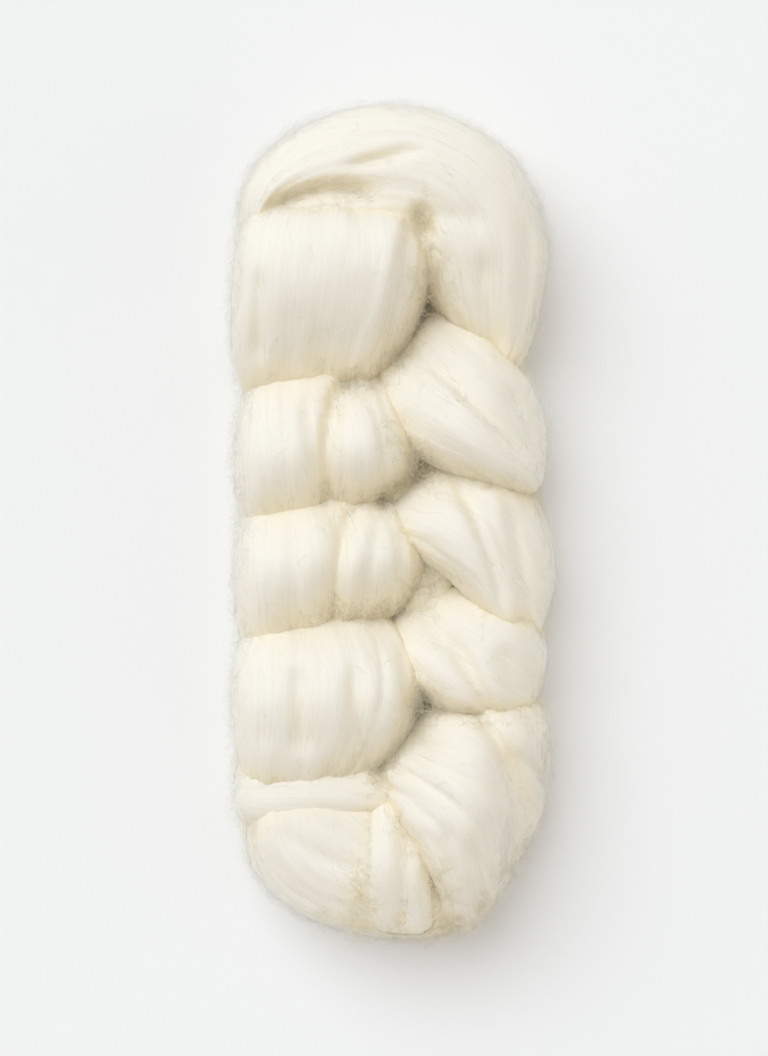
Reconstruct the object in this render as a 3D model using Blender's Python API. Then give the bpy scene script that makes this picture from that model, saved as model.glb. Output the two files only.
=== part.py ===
"""A plait of combed wool roving, lying flat on its back.

One soft, barely twisted strand is looped into a chain: each loop comes up through the one before it and
spreads into a left and a right turn, which curl over the sides and under. The strand has no cut end in
sight, so the plait is one solid: its turns, the creases where they press together, and their main folds.

Frame: metres, +Z up. The plait lies along Y, with the closed first loop at +Y and the last loop at -Y.
The origin is under its middle, on the surface that it lies on.
"""
from collections import namedtuple

import bmesh
import bpy
import numpy as np

MM = 0.001

# Driving dimensions of the finished plait, in metres.
LENGTH = 0.2975
WIDTH = 0.1155
HEIGHT = 0.066

# How finely the turns are drawn, merged and thinned out.
RINGS = 40
SIDES = 56
VOXEL = 2.0 * MM
SMOOTH_PASSES = 3
TRIANGLES = 8800

WOOL_COLOUR = (0.86, 0.81, 0.68, 1.0)
WOOL_ROUGHNESS = 0.95

# The tables below are in millimetres, in the frame above.
#
# A turn is lofted over ribs, from where its fibres come up to where they tuck under. A rib runs from its left
# end to its right end, and top is the turn's crest there. A "tube" closes to a point at its first and last
# rib; a "wrap" closes at its two sides, and its fibres go over the crest, round its outer end and back
# underneath. Plan is how square the turn is seen from above, first and last how squarely it closes at its two
# points, and section how square it is between them. Lean is how much higher its crest is on the left side
# than on the right. Base is its lowest level: below 0 it lies pressed flat.
Rib = namedtuple("Rib", "left_x left_y right_x right_y top")
Turn = namedtuple("Turn", "name form plan first last section lean base ribs")

LYING = -1.5
PRESSED = -2.5
RESTING = 26

TURNS = [
    # The first loop closes the plait's end: over the top, then down the right side.
    Turn("head", "tube", 3.0, 3.0, 2.2, 2.3, 0, LYING, [
        Rib(-58, 88, -42, 86, 46),
        Rib(-57, 121, -34, 98, 53),
        Rib(-35, 142, -20, 98, 57),
        Rib(4, 149.5, -2, 97, 59),
        Rib(39, 135, 2, 96, 60),
        Rib(56, 106, 3, 92, 60),
        Rib(57, 76, 6, 84, 59),
        Rib(54, 44, 14, 71, 57),
    ]),
    # Left column, from the first loop down.
    Turn("left_1", "tube", 6.0, 2.8, 1.8, 2.8, 0, LYING, [
        Rib(-55, 115, 11, 117, 60),
        Rib(-59, 84, 14, 90, 66),
        Rib(-59, 44, -1, 44, 56),
    ]),
    Turn("left_2", "tube", 4.0, 3.6, 1.8, 2.4, 0, LYING, [
        Rib(-56, 58, -4, 64, 42),
        Rib(-58, 26, 8, 31, 63),
        Rib(-58, -8, 10, 3, 53),
    ]),
    Turn("left_3", "tube", 4.0, 3.6, 1.8, 2.4, 0, LYING, [
        Rib(-57, 12, -2, 20, 42),
        Rib(-58, -15, 11, -8, 62),
        Rib(-58, -54, 10, -35, 52),
    ]),
    Turn("left_4", "tube", 4.0, 3.6, 1.8, 2.5, 0, LYING, [
        Rib(-56, -30, -2, -24, 42),
        Rib(-59, -60, 12, -57, 64),
        Rib(-56, -102, -9, -106, 54),
    ]),
    # Right column: each turn starts in the middle of the plait and wraps over its right side.
    Turn("right_1", "wrap", 3.4, 1.9, 3.0, 2.4, 11, LYING, [
        Rib(-18, 38, 12, 90, 49),
        Rib(20, 18, 37, 67, 60),
        Rib(54, 4, 58, 43, 52),
    ]),
    Turn("right_2", "wrap", 3.4, 1.9, 3.0, 2.4, 11, LYING, [
        Rib(-12, -5, 9, 34, 48),
        Rib(20, -20, 43, 22, 59),
        Rib(48, -56, 64, -10, 53),
    ]),
    Turn("right_3", "wrap", 3.4, 1.9, 3.0, 2.4, 10, LYING, [
        Rib(-11, -48, 12, -10, 48),
        Rib(17, -66, 45, -24, 58),
        Rib(47, -78, 60, -42, 53),
    ]),
    Turn("right_4", "wrap", 2.7, 2.0, 2.8, 2.3, 7, LYING, [
        Rib(-18, -96, 7, -54, 50),
        Rib(10, -123, 46, -58, 62),
        Rib(22, -164, 67, -84, 48),
    ]),
    # The last loop closes the other end.
    Turn("tail_band", "tube", 3.6, 3.0, 3.0, 2.4, 2, LYING, [
        Rib(18, -107, 16, -80, 46),
        Rib(-22, -108, -24, -78, 50.5),
        Rib(-59, -112, -58, -76, 47),
    ]),
    Turn("tail_rim", "tube", 3.4, 4.0, 3.0, 2.3, 0, LYING, [
        Rib(-57, -82, -10, -82, 50),
        Rib(-55, -118, -2, -88, 51),
        Rib(-37, -138, 2, -92, 51),
        Rib(-8, -148, 8, -98, 50),
        Rib(22, -147, 12, -100, 47),
        Rib(42, -128, 22, -98, 40),
    ]),
    Turn("tail_middle", "wrap", 3.4, 2.1, 2.4, 2.3, 2, RESTING, [
        Rib(-9, -94, 6, -94, 49),
        Rib(-10, -119, 14, -120, 55),
        Rib(-12, -145, 18, -147, 50),
    ]),
    # What fills the plait between its turns.
    Turn("core", "tube", 4.0, 3.0, 3.0, 3.0, 0, 6, [
        Rib(-36, -122, 30, -122, 36),
        Rib(-36, 0, 38, 0, 38),
        Rib(-36, 120, 34, 120, 36),
    ]),
]

# Behind the plait the strand steps from loop to loop in a row of short bumps, pressed flat by its weight.
BACK_BUMPS = 7
BACK_BUMP_PITCH = 33
BACK_BUMP_LENGTH = 48
BACK_BUMP_WIDTH = 36
BACK_BUMP_SKEW = 7
BACK_BUMP_TOP = 30

# A fold is a crease inside one turn, between two bundles of fibres, from one place to another in plan. Bow is
# how far its middle lies to the left of a straight line, and step how much lower the bundle on its right is.
# It fades in and out over a share of its length, and its bottom is rounded.
Fold = namedtuple("Fold", "turn from_x from_y to_x to_y bow depth step width")

FOLDS = [
    Fold("head", -50, 109, -2, 114, 6, 10.0, 0, 2.5),
    Fold("head", -19, 125, 12, 133, 0, 7.5, 0, 1.8),
    Fold("head", 31, 98, 41, 56, -1, 3.2, 0, 4),
    Fold("left_1", -13, 38, 5, 118, -2, 0.0, 3.5, 12),
    Fold("left_1", -49, 92, -49, 54, 0, 3.5, 0, 2),
    Fold("left_2", -15, 58, -20, -4, -7, 7.5, 0, 4),
    Fold("left_3", -11, 14, -21, -46, -4, 6.0, 1.0, 4),
    Fold("left_4", -15, -44, -6, -100, -2, 4.0, 0, 4),
    Fold("left_4", -35, -46, -31, -104, 0, 4.0, 0, 4),
    Fold("right_1", 4, 62, 52, 14, 2, 3.5, -2.5, 7),
    Fold("right_1", 39, 52, 55, 8, 3, 4.5, 0, 2.5),
    Fold("right_2", 15, 26, 40, -38, 3, 4.0, -2.0, 6),
    Fold("right_2", 39, 14, 51, -50, 2, 5.0, 0, 3.5),
    Fold("right_3", 14, -34, 38, -80, 3, 5.0, -1.0, 3),
    Fold("right_4", 27, -60, 54, -112, 3, 4.5, 1.5, 3.5),
    Fold("right_4", 42, -92, 38, -136, 2, 3.5, 0, 2.5),
    Fold("right_4", 27, -106, 34, -142, 0, 3.5, 0, 2.5),
]
FOLD_FADE = 0.25
FOLD_EDGE = 1.5

# A pit is where several turns are drawn in together: from where to where in plan, how deep and how wide.
Pit = namedtuple("Pit", "from_x from_y to_x to_y depth radius")

PITS = [
    Pit(9, 109, 11, 104, 5, 3.0),
    Pit(12, 83, 12, 83, 7, 3.5),
    Pit(11, 80, 2, 60, 3, 2.5),
    Pit(-6, 49, -16, 49, 3, 3.0),
    Pit(9, 21, 9, 21, 7, 3.5),
    Pit(7, 18, -4, 8, 5, 2.5),
    Pit(18, -19, 10, -23, 7, 3.5),
    Pit(11, -62, 8, -65, 6, 3.0),
]


def back_bumps():
    """The bumps behind the plait, as turns."""
    half = BACK_BUMP_WIDTH / 2
    for number in range(BACK_BUMPS):
        middle = (number - (BACK_BUMPS - 1) / 2) * BACK_BUMP_PITCH
        start = middle + BACK_BUMP_LENGTH / 2
        end = middle - BACK_BUMP_LENGTH / 2
        yield Turn(f"back_{number + 1}", "tube", 3.0, 2.4, 2.4, 2.2, 0, PRESSED, [
            Rib(-half - BACK_BUMP_SKEW, start, half - BACK_BUMP_SKEW, start, BACK_BUMP_TOP),
            Rib(-half + BACK_BUMP_SKEW, end, half + BACK_BUMP_SKEW, end, BACK_BUMP_TOP),
        ])


def closing(position, squareness):
    """How far a superellipse reaches sideways at a position from -1 to 1 along it."""
    return np.maximum(0, 1 - np.abs(position) ** squareness) ** (1 / squareness)


def outline(angle, squareness):
    """The two coordinates of a superellipse at an angle."""
    cosine, sine = np.cos(angle), np.sin(angle)
    size = (np.abs(cosine) ** squareness + np.abs(sine) ** squareness) ** (-1 / squareness)
    return cosine * size, sine * size


def smooth_step(value):
    value = np.clip(value, 0, 1)
    return value * value * (3 - 2 * value)


def along_ribs(ribs, place):
    """A rib's five values at places from 0, the first rib, to 1, the last: a Catmull-Rom spline."""
    rows = np.array(ribs, float)
    rows = np.vstack([2 * rows[0] - rows[1], rows, 2 * rows[-1] - rows[-2]])
    spans = len(ribs) - 1
    span = np.minimum((np.clip(place, 0, 1) * spans).astype(int), spans - 1)
    t = (place * spans - span)[..., None]
    before, first, last, after = (rows[span + k] for k in range(4))
    return 0.5 * (
        2 * first
        + (last - before) * t
        + (2 * before - 5 * first + 4 * last - after) * t**2
        + (3 * first - before - 3 * last + after) * t**3
    )


def along_line(line, plan):
    """Where places in plan lie along a line, from 0 at its start to 1, how far to its left, and its length."""
    start = np.array([line.from_x, line.from_y], float)
    course = np.array([line.to_x, line.to_y]) - start
    length = max(np.linalg.norm(course), 1e-6)
    share = (plan - start) @ course / length**2
    left = (plan - start) @ np.array([-course[1], course[0]]) / length
    return share, left, length


def fold_depth(turn, plan):
    """How much the folds of a turn lower its crest at places in plan, in millimetres."""
    valley = np.zeros(plan.shape[:-1])
    stepped = np.zeros(plan.shape[:-1])
    for fold in FOLDS:
        if fold.turn != turn.name:
            continue
        share, left, _ = along_line(fold, plan)
        away = left - fold.bow * 4 * share * (1 - share)
        from_edge = np.sqrt(away**2 + FOLD_EDGE**2) - FOLD_EDGE
        shown = smooth_step(share / FOLD_FADE) * smooth_step((1 - share) / FOLD_FADE)
        near = shown * np.exp(-from_edge / fold.width)
        valley += (fold.depth * near) ** 2
        stepped -= fold.step * np.tanh(away / FOLD_EDGE) * near
    return np.sqrt(valley) + stepped


def pit_depth(plan):
    """How much the pits lower every turn at places in plan, in millimetres."""
    depth = np.zeros(plan.shape[:-1])
    for pit in PITS:
        share, left, length = along_line(pit, plan)
        beyond = (share - np.clip(share, 0, 1)) * length
        depth += pit.depth * np.exp(-(beyond**2 + left**2) / pit.radius**2)
    return depth


def turn_points(turn):
    """The turn's surface as rings of points, of which the first and the last ring are single points."""
    ring = np.sin(np.linspace(-np.pi / 2, np.pi / 2, RINGS + 1))[:, None]
    angle = np.linspace(0, 2 * np.pi, SIDES, endpoint=False)[None, :]
    reach, height = outline(angle, turn.section)
    reach = closing(ring, turn.plan) * reach
    height = closing(ring, np.where(ring < 0, turn.first, turn.last)) * height
    along, across = (ring + 0 * angle, reach) if turn.form == "tube" else (reach, ring + 0 * angle)
    rib = along_ribs(turn.ribs, (along + 1) / 2)
    left, right, top = rib[..., 0:2], rib[..., 2:4], rib[..., 4] - turn.lean * across
    share = ((across + 1) / 2)[..., None]
    plan = left * (1 - share) + right * share
    half_height = (top - turn.base - fold_depth(turn, plan) - pit_depth(plan)) / 2
    level = turn.base + (1 + height) * half_height
    return np.concatenate([plan, level[..., None]], axis=-1) * MM


def add_turn(bm, turn):
    """Adds the closed surface of one turn."""
    points = turn_points(turn)
    rings = [[bm.verts.new(points[0].mean(axis=0))] * SIDES]
    rings += [[bm.verts.new(point) for point in ring] for ring in points[1:-1]]
    rings += [[bm.verts.new(points[-1].mean(axis=0))] * SIDES]
    faces = []
    for lower, upper in zip(rings, rings[1:]):
        for side in range(SIDES):
            after = (side + 1) % SIDES
            corners = [lower[side], lower[after], upper[after], upper[side]]
            faces.append(bm.faces.new(dict.fromkeys(corners)))
    bmesh.ops.recalc_face_normals(bm, faces=faces)


def overlapping_turns():
    """All turns in one mesh, still passing through each other."""
    bm = bmesh.new()
    for turn in [*TURNS, *back_bumps()]:
        add_turn(bm, turn)
    mesh = bpy.data.meshes.new("turns")
    bm.to_mesh(mesh)
    bm.free()
    return mesh


def evaluated_copy(obj):
    """A mesh of the object with its modifiers applied."""
    graph = bpy.context.evaluated_depsgraph_get()
    return bpy.data.meshes.new_from_object(obj.evaluated_get(graph))


def merged(mesh):
    """The turns' common outer skin, its creases a little softened, and with few triangles."""
    obj = bpy.data.objects.new("turns", mesh)
    bpy.context.scene.collection.objects.link(obj)
    remesh = obj.modifiers.new("one skin", "REMESH")
    remesh.mode = "VOXEL"
    remesh.voxel_size = VOXEL
    smooth = obj.modifiers.new("soft creases", "SMOOTH")
    smooth.iterations = SMOOTH_PASSES
    dense = evaluated_copy(obj)
    dense.calc_loop_triangles()
    thin = obj.modifiers.new("fewer triangles", "DECIMATE")
    thin.ratio = TRIANGLES / len(dense.loop_triangles)
    skin = evaluated_copy(obj)
    bpy.data.objects.remove(obj)
    return skin


def lay_flat(bm):
    """Presses what is below the surface up to it, which leaves the flat spots that the plait lies on."""
    for vert in bm.verts:
        vert.co.z = max(vert.co.z, 0)


def fill_pockets(bm):
    """Keeps the outer skin alone, where merging left a small closed pocket between turns."""
    unseen = set(bm.verts)
    skins = []
    while unseen:
        skin = [unseen.pop()]
        for vert in skin:
            near = {edge.other_vert(vert) for edge in vert.link_edges} & unseen
            unseen -= near
            skin.extend(sorted(near, key=lambda other: other.index))
        skins.append(skin)
    outer = max(skins, key=len)
    for skin in skins:
        if skin is not outer:
            bmesh.ops.delete(bm, geom=skin, context="VERTS")


def fit_to_size(bm):
    """Brings the plait to its driving dimensions, over the origin."""
    points = np.array([vert.co for vert in bm.verts])
    low, high = points.min(axis=0), points.max(axis=0)
    scale = np.array([WIDTH, LENGTH, HEIGHT]) / (high - low)
    middle = np.array([(low[0] + high[0]) / 2, (low[1] + high[1]) / 2, low[2]])
    for vert, point in zip(bm.verts, (points - middle) * scale):
        vert.co = point


def wool():
    """The finish of undyed combed wool."""
    material = bpy.data.materials.new("wool")
    material.use_nodes = True
    finish = material.node_tree.nodes["Principled BSDF"]
    finish.inputs["Base Color"].default_value = WOOL_COLOUR
    finish.inputs["Roughness"].default_value = WOOL_ROUGHNESS
    finish.inputs["Metallic"].default_value = 0.0
    return material


def roving_plait():
    """The plait as one object."""
    skin = merged(overlapping_turns())
    bm = bmesh.new()
    bm.from_mesh(skin)
    fill_pockets(bm)
    lay_flat(bm)
    fit_to_size(bm)
    bmesh.ops.triangulate(bm, faces=bm.faces[:])
    mesh = bpy.data.meshes.new("roving_plait")
    bm.to_mesh(mesh)
    bm.free()
    mesh.shade_smooth()
    mesh.materials.append(wool())
    obj = bpy.data.objects.new("roving_plait", mesh)
    bpy.context.scene.collection.objects.link(obj)
    return obj


def main():
    for obj in list(bpy.data.objects):
        bpy.data.objects.remove(obj)
    roving_plait()


main()
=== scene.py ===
"""The looks of the wool roving plait: its turns with their folds, the loose fibres on them, and the studio.

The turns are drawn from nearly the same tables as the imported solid, with more folds, and are fitted to its
box. The tables, the turns before they are fitted and the fibres' sizes are in millimetres, the rest is in
metres.
"""

from collections import namedtuple

import bpy
import numpy as np
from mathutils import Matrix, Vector
from mathutils.bvhtree import BVHTree


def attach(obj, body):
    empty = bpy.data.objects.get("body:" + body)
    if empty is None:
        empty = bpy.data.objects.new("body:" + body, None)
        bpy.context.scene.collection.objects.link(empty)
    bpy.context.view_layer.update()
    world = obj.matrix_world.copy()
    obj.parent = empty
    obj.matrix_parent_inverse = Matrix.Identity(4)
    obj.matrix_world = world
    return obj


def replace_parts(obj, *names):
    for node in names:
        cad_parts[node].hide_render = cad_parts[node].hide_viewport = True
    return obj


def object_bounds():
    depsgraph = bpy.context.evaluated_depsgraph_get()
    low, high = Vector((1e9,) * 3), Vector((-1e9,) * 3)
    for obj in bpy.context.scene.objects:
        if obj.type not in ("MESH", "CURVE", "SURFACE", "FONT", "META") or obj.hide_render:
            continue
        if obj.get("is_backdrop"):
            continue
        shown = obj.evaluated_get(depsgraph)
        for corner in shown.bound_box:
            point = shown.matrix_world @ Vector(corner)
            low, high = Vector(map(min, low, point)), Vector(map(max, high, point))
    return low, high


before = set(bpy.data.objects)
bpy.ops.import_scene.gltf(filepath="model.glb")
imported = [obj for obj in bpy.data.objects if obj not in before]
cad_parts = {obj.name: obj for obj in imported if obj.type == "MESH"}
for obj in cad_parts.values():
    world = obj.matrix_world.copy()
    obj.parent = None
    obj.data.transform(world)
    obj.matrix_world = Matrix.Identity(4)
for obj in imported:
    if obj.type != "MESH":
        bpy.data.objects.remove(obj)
CAD_LOW, CAD_HIGH = (np.array(corner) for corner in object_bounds())

MM = 0.001
NODE = "roving_plait"
SEED = 20

# ---------------------------------------------------------------------------------------------------------
# The plait's turns
#
# A turn is lofted over ribs, from where its fibres come up to where they tuck under. A rib runs from its
# left end to its right end, and top is the turn's crest there. A "tube" closes to a point at its first and
# last rib; a "wrap" closes at its two sides, and its fibres go over the crest, round its outer end and back
# underneath. Plan is how square the turn is seen from above, first and last how squarely it closes at its
# two points, and section how square it is between them. Base is its lowest level, and lean how much higher
# its crest is on the left side than on the right. The core fills the middle of the plait.
Rib = namedtuple("Rib", "left_x left_y right_x right_y top")
Turn = namedtuple("Turn", "name form plan first last section lean base ribs")

# The base of a turn that lies on the floor, of a bump that is pressed to it, and of a turn that rests on
# others. What would lie below the floor is pressed flat, REST_STEP higher for each turn than for the one
# before it, so that flat undersides don't coincide.
LYING = -1.5
PRESSED = -2.5
RESTING = 26
REST_STEP = 0.06

TURNS = [
    Turn("head", "tube", 3.0, 3.0, 2.2, 2.3, 0, LYING, [
        Rib(-58, 88, -42, 86, 46),
        Rib(-57, 121, -34, 98, 53),
        Rib(-35, 142, -20, 98, 57),
        Rib(4, 149.5, -2, 97, 59),
        Rib(39, 135, 2, 96, 60),
        Rib(56, 106, 3, 92, 60),
        Rib(57, 76, 6, 84, 59),
        Rib(54, 44, 14, 71, 57),
    ]),
    Turn("left_1", "tube", 6.0, 2.8, 1.8, 2.8, 0, LYING, [
        Rib(-55, 115, 11, 117, 60),
        Rib(-59, 84, 14, 90, 66),
        Rib(-59, 44, -1, 44, 56),
    ]),
    Turn("left_2", "tube", 4.0, 3.6, 1.8, 2.4, 0, LYING, [
        Rib(-56, 58, -4, 64, 42),
        Rib(-58, 26, 8, 31, 63),
        Rib(-58, -8, 10, 3, 53),
    ]),
    Turn("left_3", "tube", 4.0, 3.6, 1.8, 2.4, 0, LYING, [
        Rib(-57, 12, -2, 20, 42),
        Rib(-58, -15, 11, -8, 62),
        Rib(-58, -54, 10, -35, 52),
    ]),
    Turn("left_4", "tube", 4.0, 3.6, 1.8, 2.5, 0, LYING, [
        Rib(-56, -30, -2, -24, 42),
        Rib(-59, -60, 12, -57, 64),
        Rib(-56, -102, -9, -106, 54),
    ]),
    Turn("right_1", "wrap", 3.4, 1.9, 3.0, 2.4, 11, LYING, [
        Rib(-18, 38, 12, 90, 49),
        Rib(20, 18, 37, 67, 60),
        Rib(54, 4, 58, 43, 52),
    ]),
    Turn("right_2", "wrap", 3.4, 1.9, 3.0, 2.4, 11, LYING, [
        Rib(-12, -5, 9, 34, 48),
        Rib(20, -20, 43, 22, 59),
        Rib(48, -56, 64, -10, 53),
    ]),
    Turn("right_3", "wrap", 3.4, 1.9, 3.0, 2.4, 10, LYING, [
        Rib(-11, -48, 12, -10, 48),
        Rib(17, -66, 45, -24, 58),
        Rib(47, -78, 60, -42, 53),
    ]),
    Turn("right_4", "wrap", 2.7, 2.0, 2.8, 2.3, 7, LYING, [
        Rib(-18, -96, 7, -54, 50),
        Rib(10, -123, 46, -58, 62),
        Rib(22, -164, 67, -84, 48),
    ]),
    Turn("tail_band", "tube", 3.6, 3.0, 3.0, 2.4, 2, LYING, [
        Rib(18, -107, 16, -80, 46),
        Rib(-22, -108, -24, -78, 50.5),
        Rib(-59, -112, -58, -76, 47),
    ]),
    Turn("tail_rim", "tube", 3.4, 4.0, 3.0, 2.3, 0, LYING, [
        Rib(-57, -82, -10, -82, 50),
        Rib(-55, -118, -2, -88, 51),
        Rib(-37, -138, 2, -92, 51),
        Rib(-8, -148, 8, -98, 50),
        Rib(22, -147, 12, -100, 47),
        Rib(42, -128, 22, -98, 40),
    ]),
    Turn("tail_middle", "wrap", 3.4, 2.1, 2.4, 2.3, 2, RESTING, [
        Rib(-9, -94, 6, -94, 49),
        Rib(-10, -119, 14, -120, 55),
        Rib(-12, -145, 18, -147, 46),
    ]),
    Turn("inner_strand", "tube", 3.0, 2.4, 2.4, 2.2, 0, RESTING, [
        Rib(4, -36, 20, -36, 40),
        Rib(2, -19, 21, -19, 43.5),
        Rib(4, -2, 18, -2, 40),
    ]),
    Turn("core", "tube", 4.0, 3.0, 3.0, 3.0, 0, 6, [
        Rib(-36, -122, 30, -122, 36),
        Rib(-36, 0, 38, 0, 38),
        Rib(-36, 120, 34, 120, 36),
    ]),
]

# The bumps behind the plait: how many, how far apart, how long and wide, how slanted and how high.
BACK_BUMPS = 7
BACK_BUMP_PITCH = 33
BACK_BUMP_LENGTH = 48
BACK_BUMP_WIDTH = 36
BACK_BUMP_SKEW = 7
BACK_BUMP_TOP = 30

# A fold is a crease inside one turn, between two bundles of fibres, from one place to another in plan. Bow
# is how far its middle lies to the left of a straight line, and step how much lower the bundle on its right
# is. It fades out over FOLD_FADE of its length at each end, and FOLD_EDGE is how far it is rounded.
Fold = namedtuple("Fold", "turn from_x from_y to_x to_y bow depth step width")

FOLDS = [
    Fold("head", -50, 109, -2, 114, 6, 5.5, 0, 1.8),
    Fold("head", -19, 125, 12, 133, 0, 3.6, 0, 1.5),
    Fold("head", -42, 127, 34, 127, 12, 0.8, 0, 5),
    Fold("head", 48, 114, 44, 56, 3, 3.0, 0, 3),
    Fold("head", 6, 108, 36, 106, 1, 2.2, 0, 4),
    Fold("head", 31, 98, 41, 56, -1, 3.2, 0, 4),
    Fold("left_1", -13, 38, 5, 118, -2, 0.0, 3.5, 12),
    Fold("left_1", -49, 92, -49, 54, 0, 3.5, 0, 2),
    Fold("left_1", -27, 72, -24, 38, 0, 3.0, 0, 4),
    Fold("left_1", -37, 80, -35, 38, 0, 1.5, 0, 6),
    Fold("left_1", -14, 92, -13, 46, 0, 1.0, 0, 6),
    Fold("left_2", -15, 58, -20, -4, -7, 7.5, 0, 4),
    Fold("left_2", -32, 48, -28, 12, 0, 3.0, 0, 3),
    Fold("left_2", -43, 40, -41, -4, 0, 2.0, 0, 6),
    Fold("left_2", -5, 34, -4, 4, 1, 1.5, 0, 4),
    Fold("left_3", -11, 14, -21, -46, -4, 6.0, 1.0, 4),
    Fold("left_3", -36, 8, -35, -46, 0, 2.5, 0, 5),
    Fold("left_3", -5, 6, -11, -34, 0, 3.0, 0, 4),
    Fold("left_3", 2, 2, 2, -32, 1, 2.0, 0, 3),
    Fold("left_4", -15, -44, -7, -94, -2, 4.0, 0, 4),
    Fold("left_4", -35, -46, -33, -84, 0, 4.0, 0, 4),
    Fold("left_4", -6, -34, -3, -72, 0, 2.0, 0, 3),
    Fold("left_4", 2, -40, 7, -66, 0, 2.0, 0, 3),
    Fold("left_4", -48, -46, -47, -82, 0, 2.0, 0, 6),
    Fold("left_4", -24, -36, -22, -84, 0, 1.0, 0, 6),
    Fold("right_1", 4, 62, 52, 14, 2, 3.5, -2.5, 7),
    Fold("right_1", 39, 52, 55, 8, 3, 4.5, 0, 2.5),
    Fold("right_1", 12, 56, 23, 35, 0, 2.5, 0, 2.5),
    Fold("right_1", 4, 66, 14, 46, 0, 2.5, 0, 2.5),
    Fold("right_1", 0, 44, 34, 14, 0, 1.5, 0, 5),
    Fold("right_1", 14, 74, 50, 36, 2, 1.5, 0, 5),
    Fold("right_2", 15, 26, 40, -38, 3, 4.0, -2.0, 6),
    Fold("right_2", 39, 14, 51, -50, 2, 5.0, 0, 3.5),
    Fold("right_2", 31, 14, 43, -20, 0, 2.0, 0, 3),
    Fold("right_2", 10, 0, 28, -26, 0, 1.5, 0, 5),
    Fold("right_3", 14, -34, 38, -80, 3, 5.0, -1.0, 3),
    Fold("right_3", 6, -22, 21, -46, 0, 3.0, 1, 3),
    Fold("right_3", 38, -40, 49, -74, 0, 2.5, 0, 5),
    Fold("right_4", 27, -60, 54, -112, 3, 4.5, 1.5, 3.5),
    Fold("right_4", 42, -92, 38, -136, 2, 3.5, 0, 2.5),
    Fold("right_4", 27, -106, 34, -142, 0, 3.5, 0, 2.5),
    Fold("right_4", 17, -104, 24, -140, 0, 2.5, 0, 2.5),
    Fold("right_4", 34, -98, 36, -138, 0, 2.0, 0, 2),
    Fold("right_4", 48, -92, 46, -126, 1, 2.5, 0, 2.5),
    Fold("right_4", 3, -60, 13, -88, 0, 2.0, 0, 3),
    Fold("tail_rim", -52, -110, -6, -138, -6, 2.0, 0, 5),
    Fold("tail_rim", -44, -105, -6, -122, -4, 1.5, 0, 4),
    Fold("tail_middle", 4, -104, 2, -150, 1, 1.5, 0, 3),
    Fold("tail_middle", -5, -104, -8, -150, 1, 1.0, 0, 3),
]
FOLD_FADE = 0.25
FOLD_EDGE = 1.5

# A pit is where several turns are drawn in together: from where to where in plan, how deep and how wide.
Pit = namedtuple("Pit", "from_x from_y to_x to_y depth radius")

PITS = [
    Pit(9, 109, 11, 104, 5, 3.0),
    Pit(12, 83, 12, 83, 7, 3.5),
    Pit(11, 80, 2, 60, 3, 2.5),
    Pit(-6, 49, -16, 49, 3, 3.0),
    Pit(9, 21, 9, 21, 3, 3.5),
    Pit(7, 18, -4, 8, 5, 2.5),
    Pit(18, -19, 10, -23, 1, 3.5),
    Pit(11, -62, 8, -65, 6, 3.0),
    Pit(-6, -88, -6, -88, 3, 2.2),
]

# The steps of a turn's mesh along its fibres and across them, and both ways on turns that hardly show.
# Fibres are laid as if no step were shorter than SHORTEST_STEP. FLOW_UNIT is the unit of the flow map.
ALONG_STEP = 2.6
ACROSS_STEP = 1.0
HIDDEN_STEP = 4.0
SHORTEST_STEP = 0.2
FLOW_UNIT = 100

# Grooves between the strands that make up a turn: how deep, how far apart and how long. GROOVE_SHARE is how
# much of the way between them they take up, and they wander together over GROOVE_SPAN of them.
Groove = namedtuple("Groove", "depth apart length")
GROOVE_SHARE = 0.4
GROOVE_SPAN = 4

GROOVES = [
    Groove(0.40, 9.0, 60.0),
    Groove(0.05, 3.5, 45.0),
]

# Tufts make the turns uneven: how high they stand, how far apart they are across the fibres and how long.
Tuft = namedtuple("Tuft", "height apart length")

TUFTS = [
    Tuft(0.60, 14.0, 30.0),
    Tuft(0.35, 6.0, 18.0),
    Tuft(0.15, 2.8, 10.0),
]

# Grooves and tufts fade out where the upward part of the surface's direction is less than FLAT_SLOPE, over
# SEAM_FADE beside the mesh's seam underneath, and over END_FADE beside the places where a turn closes.
FLAT_SLOPE = 0.25
SEAM_FADE = 8
END_FADE = 20

# How much deeper the grooves and tufts are on turns whose strands have come looser or lie tighter.
LOOSENESS = {"right_4": 2.2, "tail_rim": 1.4, "tail_middle": 1.4, "tail_band": 0.35}


def back_bumps():
    """The bumps behind the plait, where the strand steps from loop to loop, as turns."""
    half = BACK_BUMP_WIDTH / 2
    for number in range(BACK_BUMPS):
        middle = (number - (BACK_BUMPS - 1) / 2) * BACK_BUMP_PITCH
        start = middle + BACK_BUMP_LENGTH / 2
        end = middle - BACK_BUMP_LENGTH / 2
        yield Turn(f"back_{number + 1}", "tube", 3.0, 2.4, 2.4, 2.2, 0, PRESSED, [
            Rib(-half - BACK_BUMP_SKEW, start, half - BACK_BUMP_SKEW, start, BACK_BUMP_TOP),
            Rib(-half + BACK_BUMP_SKEW, end, half + BACK_BUMP_SKEW, end, BACK_BUMP_TOP),
        ])


def closing(position, squareness):
    """How far a superellipse reaches sideways at a position from -1 to 1 along it."""
    return np.maximum(0, 1 - np.abs(position) ** squareness) ** (1 / squareness)


def outline(angle, squareness):
    """The two coordinates of a superellipse at an angle."""
    cosine, sine = np.cos(angle), np.sin(angle)
    size = (np.abs(cosine) ** squareness + np.abs(sine) ** squareness) ** (-1 / squareness)
    return cosine * size, sine * size


def smooth_step(value):
    """A soft rise from 0 to 1."""
    value = np.clip(value, 0, 1)
    return value * value * (3 - 2 * value)


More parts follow.
